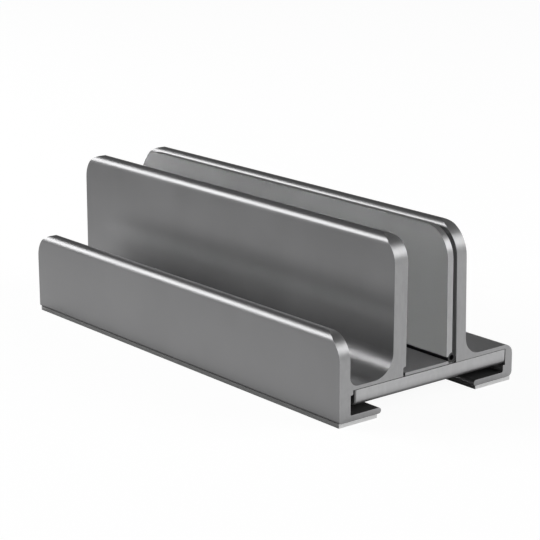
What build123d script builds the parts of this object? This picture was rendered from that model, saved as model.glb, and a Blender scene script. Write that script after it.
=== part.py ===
from build123d import *
import os
from math import cos, radians, sin, tan

# Vertical stand for two laptops, made of aluminium extrusions on a flat base plate.
# Frame: +X along the extrusions, +Y from the front wall to the rear wall, +Z up.
# The origin is on the table, under the middle of the stand.
# All lengths are in millimetres and all angles in degrees.

# Walls and slots, in order from the front face to the rear face
length = 190.0
low_wall_thickness = 4.75
small_slot_width = 19.85
tall_wall_thickness = 6.05
laptop_slot_width = 19.85
clamp_thickness = 2.6
clamp_gap = 2.2
rear_wall_thickness = 4.7
flange_reach = 24.1

# Heights of the walls above the table, and how far they lean
low_wall_top = 33.1
tall_wall_top = 63.3
rear_wall_top = 63.5
clamp_top = 62.55
tall_wall_lean = 0.4
rear_wall_lean = 1.0
clamp_lean = 0.6

# Soft strips under the claws
strip_thickness = 1.6
strip_side_inset = 0.15
strip_end_inset = 0.5
strip_lip_inset = 1.2
strip_edge_radius = 0.5

# Claws that hold the base plate
lip_thickness = 2.15
front_lip_reach = 19.15
rear_lip_reach = 19.5
front_claw_wall = 5.0
rear_claw_wall = 4.55
lip_end_radius = 1.05
front_pocket_radius = 0.4
rear_pocket_radius = 0.9
shoulder_depth = 1.15
shoulder_height = 1.65
groove_depth = 1.0

# Base plate
base_thickness = 6.2
gap_under_base = 2.7
base_play = 1.0
base_end_radius = 2.5
base_edge_break = 0.4
seam_height = 0.2
seam_depth = 1.0

# Floors of the extrusions and the rebate at the foot of the tall wall
trough_thickness = 1.25
flange_thickness = 1.45
rebate_depth = 1.25
rebate_height = 3.4

# Roundings of the extrusions
wall_corner_radius = 10.0
rear_wall_corner_radius = 12.2
low_wall_front_radius = 3.3
low_wall_back_radius = 1.3
tall_wall_front_radius = 3.2
tall_wall_back_radius = 2.7
rear_wall_front_radius = 2.9
rear_wall_back_radius = 1.8
trough_front_radius = 3.7
trough_back_radius = 8.7
flange_fillet_radius = 6.8
flange_corner_radius = 3.9
rear_heel_radius = 2.0
front_heel_radius = 0.8
rebate_radius = 0.4

# Sliding front cradle
cradle_travel = 10.0
cradle_return = 0.8
cradle_screw_inset = 25.0
cradle_screw_radius = 2.0
cradle_screw_depth = 8.5
cradle_screw_behind_wall_face = 2.4
button_head_radius = 3.8
button_head_height = 2.2
button_head_rounding = 1.3
button_socket_across_flats = 2.5
button_socket_depth = 1.3
washer_radius = 4.5
washer_thickness = 0.8
washer_hole_clearance = 0.15
slot_side_clearance = 0.2

# Screws of the rear extrusion
rear_screw_inset = 25.0
rear_screw_radius = 1.5
rear_screw_head_radius = 2.9
rear_screw_depth = 6.6
rear_screw_behind_wall_face = 2.9
rear_screw_socket_across_flats = 2.0
rear_screw_socket_depth = 1.2

# Rocking clamp: axis of its hinge, rod, knuckles and pivot blocks
hinge_above_base = 2.15
hinge_before_rear_wall = 2.1
rod_radius = 1.0
rod_end_inset = 3.0
knuckle_radius = 1.8
knuckle_end_inset = 0.3
knuckle_to_block_gap = 0.3
block_width = 8.0
block_inset = 50.0
block_radius = 1.65
block_pocket_depth = 2.5
tongue_thickness = 1.0
tongue_height = 4.0
tongue_in_front_of_axis = 1.35
clamp_bottom_above_axis = 0.7
clamp_left_inset = 4.7
clamp_corner_radius = 11.4
leaf_length = 6.0
leaf_thickness = 0.45
leaf_end_inset = 5.0
pivot_screw_radius = 1.0
pivot_screw_head_radius = 1.9
pivot_screw_socket_across_flats = 1.3
pivot_screw_socket_depth = 0.8
pivot_screw_below_rod = 0.3

# Floor plate of the laptop slot
floor_plate_thickness = 1.05
floor_plate_front_gap = 1.0

# Clearances
slide_clearance = 0.05
groove_clearance = 0.05
lay_gap = 0.1
thread_clearance = 0.02
through_clearance = 0.2
rod_clearance = 0.05
glue_gap = 0.05
pocket_clearance = 0.05
relief_clearance = 0.25
head_recess = 0.2
screw_end_gap = 0.5
tip_chamfer = 0.25

# Positions across the stand, measured from the front face
tall_wall_front = low_wall_thickness + small_slot_width
tall_wall_back = tall_wall_front + tall_wall_thickness
clamp_front = tall_wall_back + laptop_slot_width
clamp_back = clamp_front + clamp_thickness
rear_wall_front = clamp_back + clamp_gap
rear_wall_back = rear_wall_front + rear_wall_thickness
depth = rear_wall_back + flange_reach
shoulder_face = front_claw_wall + shoulder_depth
base_front = shoulder_face + base_play
rear_pocket_face = depth - rear_claw_wall
groove_face = rear_pocket_face + groove_depth
base_back = groove_face - groove_clearance
rebate_face = tall_wall_back - rebate_depth
floor_plate_front = rebate_face + floor_plate_front_gap
rear_lip_end = depth - rear_lip_reach
cradle_screw_y = tall_wall_front + cradle_screw_behind_wall_face
rear_screw_y = rear_wall_front + rear_screw_behind_wall_face
hinge_y = rear_wall_front - hinge_before_rear_wall
slot_middle_y = cradle_screw_y - (cradle_travel - cradle_return) / 2
leaf_reach = leaf_length + knuckle_radius
strip_spans = (
    ("front", strip_side_inset, front_lip_reach - strip_lip_inset),
    ("rear", rear_lip_end + strip_lip_inset, depth - strip_side_inset),
)

# Positions above the table
lip_top = strip_thickness + lip_thickness
base_bottom = lip_top + gap_under_base
base_top = base_bottom + base_thickness
cradle_underside = base_top + slide_clearance
trough_floor = cradle_underside + trough_thickness
flange_top = base_top + flange_thickness
rebate_top = base_top + rebate_height
hinge_z = base_top + hinge_above_base
floor_plate_bottom = base_top + lay_gap
block_foot = base_top - block_pocket_depth
washer_bottom = base_bottom - slide_clearance - washer_thickness
head_bottom = washer_bottom - button_head_height
cradle_screw_tip = cradle_underside + cradle_screw_depth - screw_end_gap
pivot_screw_tip = hinge_z - rod_radius - pivot_screw_below_rod
clamp_bottom = hinge_z + clamp_bottom_above_axis
tongue_top = clamp_bottom_above_axis + relief_clearance + tongue_height

# Positions along the stand
end_x = length / 2
cradle_screw_x = end_x - cradle_screw_inset
rear_screw_x = end_x - rear_screw_inset
block_x = end_x - block_inset
sides = {"left": -1, "right": 1}
clamp_left = -end_x + clamp_left_inset
leaves_left = clamp_left + leaf_end_inset
leaves_right = end_x - leaf_end_inset
middle_reach = block_x - block_width / 2 - knuckle_to_block_gap
outer_reach = block_x + block_width / 2 + knuckle_to_block_gap
knuckle_spans = (
    ("left", clamp_left + knuckle_end_inset, -outer_reach),
    ("middle", -middle_reach, middle_reach),
    ("right", outer_reach, end_x - knuckle_end_inset),
)

# Reach of the tilted walls at their tops
tall_wall_shift = (tall_wall_top - trough_floor) * tan(radians(tall_wall_lean))
rear_wall_shift = (rear_wall_top - base_top) * tan(radians(rear_wall_lean))

# Cross-section plane: its x runs back from the front face and its y runs up from the table
section = Plane(origin=(0, -depth / 2, 0), x_dir=(0, 1, 0), z_dir=(1, 0, 0))

# Cross-section plane of the clamp: it stands on the hinge axis and leans forward with the plate
clamp_section = Plane(
    origin=(0, hinge_y - depth / 2, hinge_z),
    x_dir=(0, cos(radians(clamp_lean)), sin(radians(clamp_lean))),
    z_dir=(1, 0, 0),
)

os.makedirs("parts", exist_ok=True)


def plan(height):
    """Level plane: x along the stand, y back from the front face."""
    return Plane(origin=(0, -depth / 2, height))


def elevation(distance):
    """Upright plane seen from the front, a distance behind the front face."""
    return Plane(origin=(0, distance - depth / 2, 0), x_dir=(1, 0, 0), z_dir=(0, -1, 0))


def rounded_outline(*corners):
    """Closed outline of an extrusion, from (y, z, corner radius) triples."""
    points = [(y, z) for y, z, _ in corners]
    radii = [radius for _, _, radius in corners]
    with BuildLine() as outline:
        FilletPolyline(*points, radius=radii, close=True)
    return outline.edges()


def cut_corners(front, back, top, radius, left_x=-end_x):
    """Rounds the two upper corners of a wall, with a cutter that goes right through it."""
    with BuildSketch(elevation(front - radius / 2)) as waste:
        with Locations((left_x, top), (end_x, top)):
            Rectangle(2 * radius, 2 * radius)
        with Locations((left_x + radius, top - radius), (end_x - radius, top - radius)):
            Circle(radius, mode=Mode.SUBTRACT)
    extrude(waste.sketch, amount=-(back - front) - radius, mode=Mode.SUBTRACT)


def socket_screw(x, y, head_bottom, head_radius, shank_radius, tip, across_flats, socket_depth):
    """Countersunk screw with a six-sided socket, standing on its head."""
    with BuildPart() as screw:
        with BuildSketch(plan(head_bottom)):
            with Locations((x, y)):
                Circle(head_radius)
        extrude(amount=head_radius - shank_radius, taper=45)
        with BuildSketch(plan(head_bottom)):
            with Locations((x, y)):
                Circle(shank_radius)
        extrude(amount=tip - head_bottom)
        chamfer(screw.edges().group_by(Axis.Z)[-1], length=tip_chamfer)
        with BuildSketch(plan(head_bottom)):
            with Locations((x, y)):
                RegularPolygon(across_flats / 2, 6, major_radius=False)
        extrude(amount=socket_depth, mode=Mode.SUBTRACT)
    return screw.part


# Front cradle: low wall, trough and tall wall in one extrusion, with the front claw under it
with BuildPart() as front_cradle:
    with BuildSketch(section):
        make_face(
            rounded_outline(
                (0, strip_thickness, front_heel_radius),
                (0, low_wall_top, low_wall_front_radius),
                (low_wall_thickness, low_wall_top, low_wall_back_radius),
                (low_wall_thickness, trough_floor, trough_front_radius),
                (tall_wall_front, trough_floor, trough_back_radius),
                (tall_wall_front + tall_wall_shift, tall_wall_top, tall_wall_front_radius),
                (tall_wall_back + tall_wall_shift, tall_wall_top, tall_wall_back_radius),
                (tall_wall_back, rebate_top, rebate_radius),
                (rebate_face, rebate_top, rebate_radius),
                (rebate_face, cradle_underside, 0),
                (shoulder_face, cradle_underside, 0),
                (shoulder_face, base_top - shoulder_height, rebate_radius),
                (front_claw_wall, base_top - shoulder_height, 0),
                (front_claw_wall, lip_top, front_pocket_radius),
                (front_lip_reach, lip_top, lip_end_radius),
                (front_lip_reach, strip_thickness, lip_end_radius),
            )
        )
    extrude(amount=length / 2, both=True)
    cut_corners(0, low_wall_thickness, low_wall_top, wall_corner_radius)
    cut_corners(tall_wall_front, tall_wall_back, tall_wall_top, wall_corner_radius)
    with BuildSketch(plan(cradle_underside)):
        with Locations(*[(side * cradle_screw_x, cradle_screw_y) for side in sides.values()]):
            Circle(cradle_screw_radius + thread_clearance)
    extrude(amount=cradle_screw_depth, mode=Mode.SUBTRACT)
front_cradle.part.label = "front_cradle"

# Rear extrusion: the rear wall, its flange and the grooved rear claw
with BuildPart() as rear_wall:
    with BuildSketch(section):
        make_face(
            rounded_outline(
                (rear_wall_front, base_top, 0),
                (rear_wall_front - rear_wall_shift, rear_wall_top, rear_wall_front_radius),
                (rear_wall_back - rear_wall_shift, rear_wall_top, rear_wall_back_radius),
                (rear_wall_back, flange_top, flange_fillet_radius),
                (depth, flange_top, flange_corner_radius),
                (depth, strip_thickness, rear_heel_radius),
                (rear_lip_end, strip_thickness, lip_end_radius),
                (rear_lip_end, lip_top, lip_end_radius),
                (rear_pocket_face, lip_top, rear_pocket_radius),
                (rear_pocket_face, base_bottom - groove_clearance, 0),
                (groove_face, base_bottom - groove_clearance, 0),
                (groove_face, base_top, 0),
            )
        )
    extrude(amount=length / 2, both=True)
    cut_corners(rear_wall_front, rear_wall_back, rear_wall_top, rear_wall_corner_radius)
    with BuildSketch(plan(base_top)):
        with Locations(*[(side * rear_screw_x, rear_screw_y) for side in sides.values()]):
            Circle(rear_screw_radius + thread_clearance)
    extrude(amount=rear_screw_depth, mode=Mode.SUBTRACT)
rear_wall.part.label = "rear_wall"

# Base plate: flat bar with slots for the cradle, holes for the rear screws, seats for the pivot blocks
# and a fine step across both upper ends, seen as a seam under the extrusions
with BuildPart() as base_plate:
    with BuildSketch(plan(base_bottom)):
        with Locations((0, (base_front + base_back) / 2)):
            Rectangle(length, base_back - base_front)
    extrude(amount=base_thickness)
    lower_ends = base_plate.edges().filter_by(Axis.Y).group_by(Axis.Z)[0]
    fillet(lower_ends, radius=base_end_radius)
    upright_edges = base_plate.edges().filter_by(Axis.Z)
    chamfer(upright_edges, length=base_edge_break)
    with BuildSketch(plan(base_top - seam_height)):
        with Locations((-end_x, depth / 2), (end_x, depth / 2)):
            Rectangle(2 * seam_depth, depth)
    extrude(amount=seam_height, mode=Mode.SUBTRACT)
    with BuildSketch(plan(base_bottom)):
        with Locations(*[(side * cradle_screw_x, slot_middle_y) for side in sides.values()]):
            SlotCenterToCenter(
                cradle_travel + cradle_return, 2 * (cradle_screw_radius + slot_side_clearance), rotation=90
            )
        with Locations(*[(side * rear_screw_x, rear_screw_y) for side in sides.values()]):
            Circle(rear_screw_radius + through_clearance)
        with Locations(*[(side * block_x, hinge_y) for side in sides.values()]):
            Circle(pivot_screw_radius + through_clearance)
    extrude(amount=base_thickness, mode=Mode.SUBTRACT)
    with BuildSketch(plan(block_foot)):
        with Locations(*[(side * block_x, hinge_y) for side in sides.values()]):
            Rectangle(block_width + 2 * pocket_clearance, 2 * (block_radius + pocket_clearance))
    extrude(amount=block_pocket_depth, mode=Mode.SUBTRACT)
    with Locations(*[(side * rear_screw_x, rear_screw_y - depth / 2, base_bottom) for side in sides.values()]):
        Cone(
            rear_screw_head_radius + head_recess + through_clearance,
            rear_screw_radius + through_clearance,
            rear_screw_head_radius + head_recess - rear_screw_radius,
            align=(Align.CENTER, Align.CENTER, Align.MIN),
            mode=Mode.SUBTRACT,
        )
    with Locations(*[(side * block_x, hinge_y - depth / 2, base_bottom) for side in sides.values()]):
        Cone(
            pivot_screw_head_radius + head_recess + through_clearance,
            pivot_screw_radius + through_clearance,
            pivot_screw_head_radius + head_recess - pivot_screw_radius,
            align=(Align.CENTER, Align.CENTER, Align.MIN),
            mode=Mode.SUBTRACT,
        )
base_plate.part.label = "base_plate"

# Clamp plate, drawn upright on the hinge axis and tilted forward with its own plane
with BuildPart() as clamp_plate:
    with BuildSketch(clamp_section.offset(clamp_left)):
        with Locations((clamp_front - hinge_y, clamp_bottom - hinge_z)):
            Rectangle(clamp_thickness, clamp_top - clamp_bottom, align=Align.MIN)
    extrude(amount=end_x - clamp_left)
    cut_corners(clamp_front, clamp_back, clamp_top, clamp_corner_radius, clamp_left)
    with BuildSketch(section):
        with Locations((hinge_y, hinge_z)):
            Circle(knuckle_radius + relief_clearance)
    extrude(amount=length, both=True, mode=Mode.SUBTRACT)
    with BuildSketch(clamp_section.offset(leaves_left - glue_gap)):
        with Locations((-tongue_in_front_of_axis, tongue_top - tongue_height / 2)):
            Rectangle(tongue_thickness + 2 * glue_gap, tongue_height + 2 * glue_gap)
    extrude(amount=leaves_right - leaves_left + 2 * glue_gap, mode=Mode.SUBTRACT)
clamp_plate.part.label = "clamp_plate"

# Floor plate, hollowed at the back round the knuckles and rebated underneath for their leaves
with BuildPart() as floor_plate:
    with BuildSketch(section):
        with Locations((floor_plate_front, floor_plate_bottom)):
            Rectangle(hinge_y - floor_plate_front, floor_plate_thickness, align=Align.MIN)
        with Locations((hinge_y, hinge_z)):
            Circle(knuckle_radius + relief_clearance, mode=Mode.SUBTRACT)
            Rectangle(2 * knuckle_radius, 2 * hinge_above_base, mode=Mode.SUBTRACT)
    extrude(amount=length / 2, both=True)
    with BuildSketch(section.offset(leaves_left - glue_gap)):
        with Locations((hinge_y, floor_plate_bottom)):
            Rectangle(leaf_reach + glue_gap, leaf_thickness + glue_gap, align=(Align.MAX, Align.MIN))
    extrude(amount=leaves_right - leaves_left + 2 * glue_gap, mode=Mode.SUBTRACT)
floor_plate.part.label = "floor_plate"

# Nylon knuckle strips: a barrel on the hinge rod, a tongue up into the clamp and a leaf under the floor plate
for name, start_x, stop_x in knuckle_spans:
    leaf_start = max(start_x, leaves_left)
    leaf_stop = min(stop_x, leaves_right)
    with BuildPart() as knuckle:
        with BuildSketch(section.offset(start_x)):
            with Locations((hinge_y, hinge_z)):
                Circle(knuckle_radius)
        extrude(amount=stop_x - start_x)
        with BuildSketch(clamp_section.offset(leaf_start)):
            with Locations((-tongue_in_front_of_axis, 0)):
                Rectangle(tongue_thickness, tongue_top, align=(Align.CENTER, Align.MIN))
        extrude(amount=leaf_stop - leaf_start)
        with BuildSketch(section.offset(leaf_start)):
            with Locations((hinge_y, floor_plate_bottom)):
                Rectangle(leaf_reach, leaf_thickness, align=(Align.MAX, Align.MIN))
        extrude(amount=leaf_stop - leaf_start)
        with BuildSketch(section.offset(start_x)):
            with Locations((hinge_y, hinge_z)):
                Circle(rod_radius + rod_clearance)
        extrude(amount=stop_x - start_x, mode=Mode.SUBTRACT)
    knuckle.part.label = f"corner_hinge_{name}"
    export_step(knuckle.part, f"parts/corner_hinge_{name}.step")

# Hinge rod
with BuildPart() as hinge_rod:
    with BuildSketch(section.offset(clamp_left + rod_end_inset)):
        with Locations((hinge_y, hinge_z)):
            Circle(rod_radius)
    extrude(amount=end_x - clamp_left - 2 * rod_end_inset)
    chamfer(hinge_rod.edges(), length=tip_chamfer)
hinge_rod.part.label = "hinge_rod"

# Soft strips under the two claws
for name, strip_start, strip_stop in strip_spans:
    with BuildPart() as strip:
        with BuildSketch(plan(0)):
            with Locations((0, (strip_start + strip_stop) / 2)):
                Rectangle(length - 2 * strip_end_inset, strip_stop - strip_start)
        extrude(amount=strip_thickness)
        fillet(strip.edges().filter_by(Axis.Z), radius=strip_edge_radius)
    strip.part.label = f"{name}_foot_strip"
    export_step(strip.part, f"parts/{name}_foot_strip.step")

# Fasteners and pivot blocks, one set at each end
for name, side in sides.items():
    with BuildPart() as cradle_screw:
        with BuildSketch(plan(head_bottom)):
            with Locations((side * cradle_screw_x, cradle_screw_y)):
                Circle(button_head_radius)
        extrude(amount=button_head_height)
        fillet(cradle_screw.edges().group_by(Axis.Z)[0], radius=button_head_rounding)
        with BuildSketch(plan(washer_bottom)):
            with Locations((side * cradle_screw_x, cradle_screw_y)):
                Circle(cradle_screw_radius)
        extrude(amount=cradle_screw_tip - washer_bottom)
        chamfer(cradle_screw.edges().group_by(Axis.Z)[-1], length=tip_chamfer)
        with BuildSketch(plan(head_bottom)):
            with Locations((side * cradle_screw_x, cradle_screw_y)):
                RegularPolygon(button_socket_across_flats / 2, 6, major_radius=False)
        extrude(amount=button_socket_depth, mode=Mode.SUBTRACT)
    cradle_screw.part.label = f"cradle_screw_{name}"
    export_step(cradle_screw.part, f"parts/cradle_screw_{name}.step")

    with BuildPart() as cradle_washer:
        with BuildSketch(plan(washer_bottom)):
            with Locations((side * cradle_screw_x, cradle_screw_y)):
                Circle(washer_radius)
                Circle(cradle_screw_radius + washer_hole_clearance, mode=Mode.SUBTRACT)
        extrude(amount=washer_thickness)
    cradle_washer.part.label = f"cradle_washer_{name}"
    export_step(cradle_washer.part, f"parts/cradle_washer_{name}.step")

    with BuildPart() as pivot_block:
        with BuildSketch(section.offset(side * block_x - block_width / 2)):
            with Locations((hinge_y, block_foot)):
                Rectangle(2 * block_radius, hinge_z - block_foot, align=(Align.CENTER, Align.MIN))
            with Locations((hinge_y, hinge_z)):
                Circle(block_radius)
                Circle(rod_radius + thread_clearance, mode=Mode.SUBTRACT)
        extrude(amount=block_width)
        with BuildSketch(plan(block_foot)):
            with Locations((side * block_x, hinge_y)):
                Circle(pivot_screw_radius + thread_clearance)
        extrude(amount=pivot_screw_tip + pocket_clearance - block_foot, mode=Mode.SUBTRACT)
    pivot_block.part.label = f"pivot_block_{name}"
    export_step(pivot_block.part, f"parts/pivot_block_{name}.step")

    pivot_screw = socket_screw(
        side * block_x,
        hinge_y,
        base_bottom + head_recess,
        pivot_screw_head_radius,
        pivot_screw_radius,
        pivot_screw_tip,
        pivot_screw_socket_across_flats,
        pivot_screw_socket_depth,
    )
    pivot_screw.label = f"pivot_screw_{name}"
    export_step(pivot_screw, f"parts/pivot_screw_{name}.step")

    rear_screw = socket_screw(
        side * rear_screw_x,
        rear_screw_y,
        base_bottom + head_recess,
        rear_screw_head_radius,
        rear_screw_radius,
        base_top + rear_screw_depth - screw_end_gap,
        rear_screw_socket_across_flats,
        rear_screw_socket_depth,
    )
    rear_screw.label = f"rear_screw_{name}"
    export_step(rear_screw, f"parts/rear_screw_{name}.step")

for piece in (front_cradle, rear_wall, base_plate, clamp_plate, floor_plate, hinge_rod):
    export_step(piece.part, f"parts/{piece.part.label}.step")
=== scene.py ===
import bpy
import math
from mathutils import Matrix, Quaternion, Vector


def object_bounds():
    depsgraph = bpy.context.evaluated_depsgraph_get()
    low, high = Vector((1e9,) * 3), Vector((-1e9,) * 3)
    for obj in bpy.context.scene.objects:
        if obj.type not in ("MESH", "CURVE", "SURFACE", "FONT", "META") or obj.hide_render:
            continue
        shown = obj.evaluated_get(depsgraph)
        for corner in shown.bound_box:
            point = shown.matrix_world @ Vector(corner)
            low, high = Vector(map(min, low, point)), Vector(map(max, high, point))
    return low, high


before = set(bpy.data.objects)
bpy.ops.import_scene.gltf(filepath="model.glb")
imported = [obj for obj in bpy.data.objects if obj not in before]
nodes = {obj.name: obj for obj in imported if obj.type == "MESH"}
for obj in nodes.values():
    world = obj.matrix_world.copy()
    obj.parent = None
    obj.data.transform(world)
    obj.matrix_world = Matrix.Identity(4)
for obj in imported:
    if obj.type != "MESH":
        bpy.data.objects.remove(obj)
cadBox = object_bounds()
print("frame loaded with", len(nodes), "pieces")


# camera where the photograph was taken from, worked out from the straight edges of the stand
photoCamera = {
    "place": (0.5438, -0.436, 0.2172),
    "azimuth": 50.98,
    "elevation": 15.08,
    "roll": 0.20,
    "lens": 123.57,
    "sensor": 36.0,
    "nearest": 0.01,
    "farthest": 50.0,
}


def addCamera(values):
    data = bpy.data.cameras.new("photoCamera")
    data.lens = values["lens"]
    data.sensor_width = values["sensor"]
    data.clip_start = values["nearest"]
    data.clip_end = values["farthest"]
    camera = bpy.data.objects.new("photoCamera", data)
    bpy.context.collection.objects.link(camera)
    turn = math.radians(values["azimuth"])
    tilt = math.radians(values["elevation"])
    level = math.cos(tilt)
    looking = Vector((-math.sin(turn) * level, math.cos(turn) * level, -math.sin(tilt)))
    rolled = Quaternion((0.0, 0.0, 1.0), -math.radians(values["roll"]))
    camera.location = values["place"]
    camera.rotation_mode = "QUATERNION"
    camera.rotation_quaternion = looking.to_track_quat("-Z", "Y") @ rolled
    bpy.context.scene.camera = camera


addCamera(photoCamera)
print("camera set")


# small helpers for node trees
colourSockets = {"first": 6, "second": 7, "result": 2}    # places of the mix node's colour sockets


def link(tree, source, target):
    tree.links.new(source, target)


def fill(tree, socket, value):
    if isinstance(value, bpy.types.NodeSocket):
        link(tree, value, socket)
    elif isinstance(value, tuple):
        socket.default_value = (*value, 1)
    else:
        socket.default_value = value


def mathNode(tree, operation, *values):
    node = tree.nodes.new("ShaderNodeMath")
    node.operation = operation
    for socket, value in zip(node.inputs, values):
        fill(tree, socket, value)
    return node.outputs[0]


def mixColour(tree, share, first, second, blend="MIX"):
    node = tree.nodes.new("ShaderNodeMix")
    node.data_type = "RGBA"
    node.blend_type = blend
    fill(tree, node.inputs["Factor"], share)
    fill(tree, node.inputs[colourSockets["first"]], first)
    fill(tree, node.inputs[colourSockets["second"]], second)
    return node.outputs[colourSockets["result"]]


def tinted(tree, colour, tint):
    return mixColour(tree, 1.0, colour, tint, "MULTIPLY")


def mixShaders(tree, share, first, second):
    node = tree.nodes.new("ShaderNodeMixShader")
    for socket, source in zip(node.inputs, (share, first, second)):
        link(tree, source, socket)
    return node.outputs[0]


def alongAxis(tree, vector, axis):
    node = tree.nodes.new("ShaderNodeSeparateXYZ")
    link(tree, vector, node.inputs[0])
    return node.outputs[axis]


def ramp(tree, value, low, high, outLow=0.0, outHigh=1.0):
    node = tree.nodes.new("ShaderNodeMapRange")
    node.interpolation_type = "SMOOTHSTEP"
    link(tree, value, node.inputs["Value"])
    node.inputs["From Min"].default_value = low
    node.inputs["From Max"].default_value = high
    node.inputs["To Min"].default_value = outLow
    node.inputs["To Max"].default_value = outHigh
    return node.outputs["Result"]


def vary(tree, value, limits, middle, spread):
    return ramp(tree, value, *limits, middle - spread, middle + spread)


# world: a dim room that is lighter below the horizon, and plain white where the camera sees it
roomLight = {
    "low": 0.60,
    "high": 0.13,
    "lowUpTo": -0.05,
    "highFrom": 0.20,
    "seen": 1.0,
}


def addWorld(values):
    world = bpy.data.worlds.new("whiteRoom")
    bpy.context.scene.world = world
    world.use_nodes = True
    tree = world.node_tree
    tree.nodes.clear()
    place = tree.nodes.new("ShaderNodeTexCoord")
    height = alongAxis(tree, place.outputs["Generated"], "Z")
    level = ramp(tree, height, values["lowUpTo"], values["highFrom"], values["low"], values["high"])
    room = tree.nodes.new("ShaderNodeBackground")
    link(tree, level, room.inputs["Color"])
    white = tree.nodes.new("ShaderNodeBackground")
    white.inputs["Color"].default_value = (1, 1, 1, 1)
    white.inputs["Strength"].default_value = values["seen"]
    ray = tree.nodes.new("ShaderNodeLightPath")
    seen = mixShaders(tree, ray.outputs["Is Camera Ray"], room.outputs[0], white.outputs[0])
    out = tree.nodes.new("ShaderNodeOutputWorld")
    link(tree, seen, out.inputs[0])


# two large soft boxes, one to the front left and one to the back right
lamps = {
    "frontLeft": {
        "toward": (-0.757, -0.60, 0.36),
        "distance": 1.4,
        "size": (1.05, 0.62),
        "power": 14.4,
    },
    "backRight": {
        "toward": (0.66, 0.61, 0.43),
        "distance": 1.4,
        "size": (0.95, 0.66),
        "power": 6.5,
    },
}
aimHeight = 0.03         # above the desk, where both of them point


def newAreaLight(name, values):
    data = bpy.data.lights.new(name, "AREA")
    data.shape = "RECTANGLE"
    data.size, data.size_y = values["size"]
    data.energy = values["power"]
    lamp = bpy.data.objects.new(name, data)
    bpy.context.collection.objects.link(lamp)
    return lamp


def addLamp(name, values):
    lamp = newAreaLight(name, values)
    toward = Vector(values["toward"]).normalized()
    lamp.location = toward * values["distance"] + Vector((0.0, 0.0, aimHeight))
    lamp.rotation_mode = "QUATERNION"
    lamp.rotation_quaternion = (-toward).to_track_quat("-Z", "Y")


# soft sheets that light one piece each, as light does that bounces about in the deep slots and
# over the flange; only the piece named in shadedBy casts a shadow in a sheet's light
sheetInset = 0.001       # from each end of the stand
slotLength = cadBox[1][0] - cadBox[0][0] - 2 * sheetInset
deskSheet = {            # lies just under the desk, from below the stand forwards, and shines up
    "middle": (0.0, -1.0, -0.01),
    "size": (3.0, 2.0),
    "shadedBy": "rear_foot_strip",
    "turn": (180.0, 0.0, 0.0),
}
slotSheets = {
    "bounceUp": {**deskSheet, "power": 16.3, "lit": "clamp_plate"},
    "bounceDown": {
        "middle": (-0.35, 0.35, 0.45),
        "size": (0.6, 0.6),
        "power": 0.33,
        "lit": "floor_plate",
        "shadedBy": "rear_foot_strip",
        "turn": (-35.0, -35.0, 0.0),
    },
    "bounceTrough": {
        "middle": (0.0, -0.0335, 0.0300),
        "size": (slotLength, 0.006),
        "power": 0.0054,
        "lit": "front_cradle",
        "shadedBy": "front_cradle",
        "turn": (37.0, 0.0, 0.0),
    },
    "bounceWall": {
        "middle": (0.0, -0.0385, 0.0345),
        "size": (slotLength, 0.016),
        "power": 0.0016,
        "lit": "front_cradle",
        "shadedBy": "front_cradle",
        "turn": (90.0, 0.0, 0.0),
    },
    "bounceFlange": {
        "middle": (0.0, 0.0440, 0.0600),
        "size": (slotLength, 0.030),
        "power": 0.030,
        "lit": "rear_wall",
        "shadedBy": "rear_wall",
        "turn": (0.0, 0.0, 0.0),
    },
    "bounceGap": {**deskSheet, "power": 3.3, "lit": "rear_wall"},
}


def collectionOf(name, node):
    collection = bpy.data.collections.new(name)
    collection.objects.link(node)
    return collection


def addSlotSheet(name, values):
    lamp = newAreaLight(name, values)
    lamp.data.cycles.use_multiple_importance_sampling = False    # keeps its level steady
    lamp.location = values["middle"]
    lamp.rotation_euler = [math.radians(angle) for angle in values["turn"]]
    lamp.visible_camera = False
    linking = lamp.light_linking
    linking.receiver_collection = collectionOf(name + "Lit", nodes[values["lit"]])
    linking.blocker_collection = collectionOf(name + "Shades", nodes[values["shadedBy"]])


addWorld(roomLight)
for lampName, lampValues in lamps.items():
    addLamp(lampName, lampValues)
for sheetName, sheetValues in slotSheets.items():
    addSlotSheet(sheetName, sheetValues)
print("room and lamps lit")


# white sheet under the stand: the camera sees it white with a faint shadow, and reflections
# see it darker close under the stand and further out to the front and to the left
floorSheet = {
    "half": 3.0,
    "paper": (0.9, 0.9, 0.9),
    "glow": 1.07,
    "shadowKept": 0.12,
    "nearShade": 0.010,
    "nearShadeDepth": 2.5,
    "frontFrom": 0.10,
    "frontUpTo": 0.18,
    "frontLevel": 0.40,
    "leftFrom": 0.17,
    "leftUpTo": 0.34,
    "leftLevel": 0.55,
}


def reflectedLevel(tree, values):
    near = tree.nodes.new("ShaderNodeAmbientOcclusion")
    near.inputs["Distance"].default_value = values["nearShade"]
    level = mathNode(tree, "POWER", near.outputs["AO"], values["nearShadeDepth"])
    place = tree.nodes.new("ShaderNodeTexCoord")
    for side, axis in {"front": "Y", "left": "X"}.items():    # both lie towards the minus end
        along = alongAxis(tree, place.outputs["Object"], axis)
        outward = mathNode(tree, "MULTIPLY", along, -1.0)
        start, end, last = (values[side + word] for word in ("From", "UpTo", "Level"))
        level = mathNode(tree, "MULTIPLY", level, ramp(tree, outward, start, end, 1.0, last))
    return level


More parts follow.
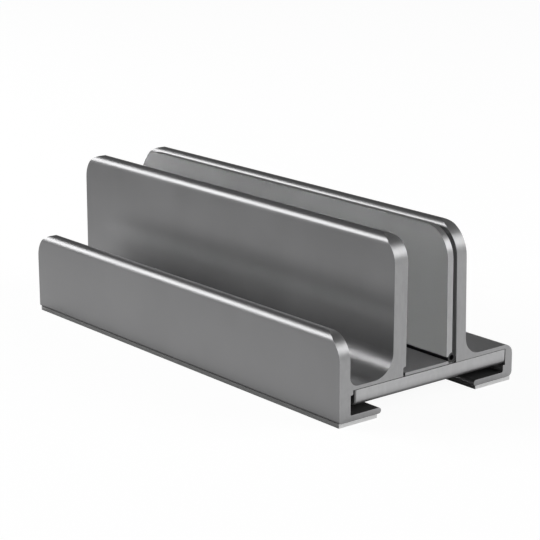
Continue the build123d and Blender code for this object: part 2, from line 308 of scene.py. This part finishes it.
def floorMaterial(values):
    material = bpy.data.materials.new("paleFloor")
    material.use_nodes = True
    tree = material.node_tree
    tree.nodes.clear()
    paper = tree.nodes.new("ShaderNodeBsdfDiffuse")
    fill(tree, paper.inputs["Color"], values["paper"])
    ray = tree.nodes.new("ShaderNodeLightPath")
    white = (1.0, 1.0, 1.0)
    tint = mixColour(tree, ray.outputs["Is Glossy Ray"], white, reflectedLevel(tree, values))
    glow = tree.nodes.new("ShaderNodeEmission")
    glow.inputs["Strength"].default_value = values["glow"]
    link(tree, tint, glow.inputs["Color"])
    glowing = mathNode(tree, "MAXIMUM", ray.outputs["Is Camera Ray"], ray.outputs["Is Glossy Ray"])
    glowing = mathNode(tree, "MAXIMUM", glowing, ray.outputs["Is Transmission Ray"])
    share = mathNode(tree, "MULTIPLY", glowing, 1.0 - values["shadowKept"])
    out = tree.nodes.new("ShaderNodeOutputMaterial")
    link(tree, mixShaders(tree, share, paper.outputs[0], glow.outputs[0]), out.inputs[0])
    return material


def addFloor(values):
    half = values["half"]
    corners = [(-half, -half, 0), (half, -half, 0), (half, half, 0), (-half, half, 0)]
    mesh = bpy.data.meshes.new("floor")
    mesh.from_pydata(corners, [], [(0, 1, 2, 3)])
    mesh.materials.append(floorMaterial(values))
    floor = bpy.data.objects.new("floor", mesh)
    bpy.context.collection.objects.link(floor)


addFloor(floorSheet)
print("floor laid")


# what the finishes share
def newMaterial(name):
    material = bpy.data.materials.new(name)
    material.use_nodes = True
    tree = material.node_tree
    place = tree.nodes.new("ShaderNodeTexCoord")
    return material, tree, tree.nodes["Principled BSDF"], place


def noise(tree, place, values, kind):
    mapping = tree.nodes.new("ShaderNodeMapping")
    mapping.inputs["Scale"].default_value = values.get(kind + "Stretch", (1.0, 1.0, 1.0))
    link(tree, place.outputs["Object"], mapping.inputs["Vector"])
    node = tree.nodes.new("ShaderNodeTexNoise")
    node.inputs["Scale"].default_value = values[kind + "Scale"]
    node.inputs["Detail"].default_value = values[kind + "Detail"]
    link(tree, mapping.outputs[0], node.inputs["Vector"])
    return node.outputs["Fac"]


def bump(tree, shader, height, depth):
    node = tree.nodes.new("ShaderNodeBump")
    node.inputs["Strength"].default_value = 1.0
    node.inputs["Distance"].default_value = depth
    link(tree, height, node.inputs["Height"])
    link(tree, node.outputs[0], shader.inputs["Normal"])


def cutShare(tree, place, values):
    along = alongAxis(tree, place.outputs["Normal"], values["cutAxis"])
    return ramp(tree, mathNode(tree, "ABSOLUTE", along), *values["cutFrom"])


# bead-blasted grey anodised aluminium; sawn and milled ends lighter, partly milled tone and partly
# painted light
greyAluminium = {
    "face": (0.214, 0.214, 0.217),
    # cut ends: partly the milled tone, partly painted light for how the lamps fall on them
    "cutEndWithPaintedLight": (0.355, 0.355, 0.359),
    "cutAxis": "X",
    "cutFrom": (0.05, 0.30),
    "cutScale": 900.0,
    "cutDetail": 3.0,
    "cutStretch": (1.0, 1.0, 0.35),
    "cutLimits": (0.25, 0.75),
    "cutSpread": 0.04,
    # painted highlight: edges are lightened by this share, for light caught on their small rounds
    "edgeHighlightGain": 0.30,
    "edgeWidth": 0.00035,
    "edgeSamples": 4,
    "edgeFrom": (0.80, 0.98),
    "metallic": 0.72,
    "roughness": 0.36,
    "roughnessLimits": (0.2, 0.8),
    "roughnessSpread": 0.03,
    "blastScale": 5200.0,
    "blastDetail": 1.0,
    "blastDepth": 0.00002,
    "cloudScale": 40.0,
    "cloudDetail": 2.0,
    "cloudLimits": (0.3, 0.7),
    "cloudSpread": 0.03,
}

# the base plate's ends are paler, partly milled tone and partly painted light, with painted shade
# darkening them downwards as on a rolled edge
paleEndWithPaintedShade = {
    "cutEndWithPaintedLight": (0.48, 0.48, 0.485),
    "cutFrom": (0.80, 0.998),
    # painted shade: the ends darken downwards between these two heights
    "paintedShadeFrom": 0.0105,      # heights above the desk
    "paintedShadeTo": 0.0059,
    "paintedShadeLevel": 0.45,
}

# the clamp plate is milled all round, so what faces neither forwards nor backwards is cut; this rim
# is lighter, partly milled tone and partly painted light
milledRimWithPaintedLight = {
    "cutEndWithPaintedLight": (0.40, 0.40, 0.404),
    "cutAxis": "Y",
    "cutFrom": (0.95, 0.70),
}


# painted highlight: a light line painted along every edge, as light caught on its small round
def paintedEdgeHighlight(tree, values):
    rounded = tree.nodes.new("ShaderNodeBevel")
    rounded.inputs["Radius"].default_value = values["edgeWidth"]
    rounded.samples = values["edgeSamples"]
    geometry = tree.nodes.new("ShaderNodeNewGeometry")
    dot = tree.nodes.new("ShaderNodeVectorMath")
    dot.operation = "DOT_PRODUCT"
    link(tree, rounded.outputs[0], dot.inputs[0])
    link(tree, geometry.outputs["Normal"], dot.inputs[1])
    return ramp(tree, dot.outputs["Value"], *values["edgeFrom"], 1.0 + values["edgeHighlightGain"], 1.0)


def addAluminium(name, values):
    material, tree, shader, place = newMaterial(name)
    cloud = noise(tree, place, values, "cloud")
    cloudTint = vary(tree, cloud, values["cloudLimits"], 1.0, values["cloudSpread"])
    face = tinted(tree, values["face"], cloudTint)
    grain = noise(tree, place, values, "cut")
    grainTint = vary(tree, grain, values["cutLimits"], 1.0, values["cutSpread"])
    cut = tinted(tree, values["cutEndWithPaintedLight"], grainTint)
    # painted shade: the cut colour darkens towards the lower edge of the ends
    if "paintedShadeLevel" in values:
        height = alongAxis(tree, place.outputs["Object"], "Z")
        paintedShade = ramp(tree, height, values["paintedShadeTo"], values["paintedShadeFrom"], values["paintedShadeLevel"], 1.0)
        cut = tinted(tree, cut, paintedShade)
    # the ends take the cut colour, which is partly painted light
    plain = mixColour(tree, cutShare(tree, place, values), face, cut)
    # the painted edge highlight lightens the colour along every edge
    link(tree, tinted(tree, plain, paintedEdgeHighlight(tree, values)), shader.inputs["Base Color"])
    shader.inputs["Metallic"].default_value = values["metallic"]
    spread = values["roughnessSpread"]
    wear = vary(tree, cloud, values["roughnessLimits"], values["roughness"], spread)
    link(tree, wear, shader.inputs["Roughness"])
    bump(tree, shader, noise(tree, place, values, "blast"), values["blastDepth"])
    return material


# translucent pale silicone, milkier at the cut ends, whose glow is painted light; the long sides are
# painted darker as painted shade
footSilicone = {
    # painted shade: the long sides are darker than the cut ends
    "side": (0.26, 0.26, 0.26),
    "cutEndWithPaintedLight": (0.86, 0.86, 0.86),
    "cutAxis": "X",
    "cutFrom": (0.5, 0.9),
    # painted light: the cut ends glow though they are no lamp
    "paintedEndGlow": 0.30,
    "roughness": 0.45,
    "transmission": 0.35,
    "ior": 1.41,
    "grainScale": 700.0,
    "grainDetail": 2.0,
    "grainDepth": 0.00002,
}


def addSilicone(name, values):
    material, tree, shader, place = newMaterial(name)
    isCut = cutShare(tree, place, values)
    # long sides painted dark as shade, cut ends pale
    link(tree, mixColour(tree, isCut, values["side"], values["cutEndWithPaintedLight"]), shader.inputs["Base Color"])
    fill(tree, shader.inputs["Emission Color"], values["cutEndWithPaintedLight"])
    # painted light: glow on the cut ends
    glow = mathNode(tree, "MULTIPLY", isCut, values["paintedEndGlow"])
    link(tree, glow, shader.inputs["Emission Strength"])
    shader.inputs["Roughness"].default_value = values["roughness"]
    shader.inputs["Transmission Weight"].default_value = values["transmission"]
    shader.inputs["IOR"].default_value = values["ior"]
    bump(tree, shader, noise(tree, place, values, "grain"), values["grainDepth"])
    return material


# matt black nylon for the hinge strips and the pivot blocks
blackNylon = {
    "colour": (0.018, 0.018, 0.019),
    "pale": (0.03, 0.03, 0.031),
    "roughness": 0.55,
    "grainScale": 1800.0,
    "grainDetail": 3.0,
    "grainDepth": 0.00003,
}


def addNylon(name, values):
    material, tree, shader, place = newMaterial(name)
    grain = noise(tree, place, values, "grain")
    link(tree, mixColour(tree, grain, values["colour"], values["pale"]), shader.inputs["Base Color"])
    shader.inputs["Roughness"].default_value = values["roughness"]
    bump(tree, shader, grain, values["grainDepth"])
    return material


# black oxide on the screws and the rod, and ground steel on the washers
blackOxide = {
    "colour": (0.035, 0.035, 0.037),
    "pale": (0.07, 0.07, 0.072),
    "metallic": 0.9,
    "roughness": 0.38,
}
groundSteel = {
    "colour": (0.42, 0.42, 0.43),
    "pale": (0.55, 0.55, 0.56),
    "metallic": 1.0,
    "roughness": 0.28,
}
steelGrain = {
    "grainScale": 900.0,
    "grainDetail": 3.0,
    "grainStretch": (0.2, 1.0, 1.0),
    "grainLimits": (0.2, 0.8),
    "roughnessSpread": 0.05,
}


def addSteel(name, values):
    material, tree, shader, place = newMaterial(name)
    grain = noise(tree, place, values, "grain")
    link(tree, mixColour(tree, grain, values["colour"], values["pale"]), shader.inputs["Base Color"])
    shader.inputs["Metallic"].default_value = values["metallic"]
    spread = values["roughnessSpread"]
    wear = vary(tree, grain, values["grainLimits"], values["roughness"], spread)
    link(tree, wear, shader.inputs["Roughness"])
    return material


aluminium = addAluminium("greyAluminium", greyAluminium)
baseAluminium = addAluminium("baseAluminium", {**greyAluminium, **paleEndWithPaintedShade})
clampAluminium = addAluminium("clampAluminium", {**greyAluminium, **milledRimWithPaintedLight})
silicone = addSilicone("footSilicone", footSilicone)
nylon = addNylon("blackNylon", blackNylon)
oxide = addSteel("blackOxide", {**steelGrain, **blackOxide})
steel = addSteel("groundSteel", {**steelGrain, **groundSteel})
print("finishes made")

# which finish each piece of the stand has, by how its name starts
finishes = {
    "base_plate": baseAluminium,
    "rear_wall": aluminium,
    "front_cradle": aluminium,
    "clamp_plate": clampAluminium,
    "floor_plate": aluminium,
    "rear_foot_strip": silicone,
    "front_foot_strip": silicone,
    "corner_hinge": nylon,
    "pivot_block": nylon,
    "hinge_rod": oxide,
    "cradle_washer": steel,
    "rear_screw": oxide,
    "pivot_screw": oxide,
    "cradle_screw": oxide,
}


def giveFinish(node, finish):
    node.data.materials.clear()
    node.data.materials.append(finish)


for nodeName, node in nodes.items():
    kind = next(start for start in finishes if nodeName.startswith(start))
    giveFinish(node, finishes[kind])
print("finishes given to", len(nodes), "pieces")

bpy.context.scene.view_settings.view_transform = "Standard"
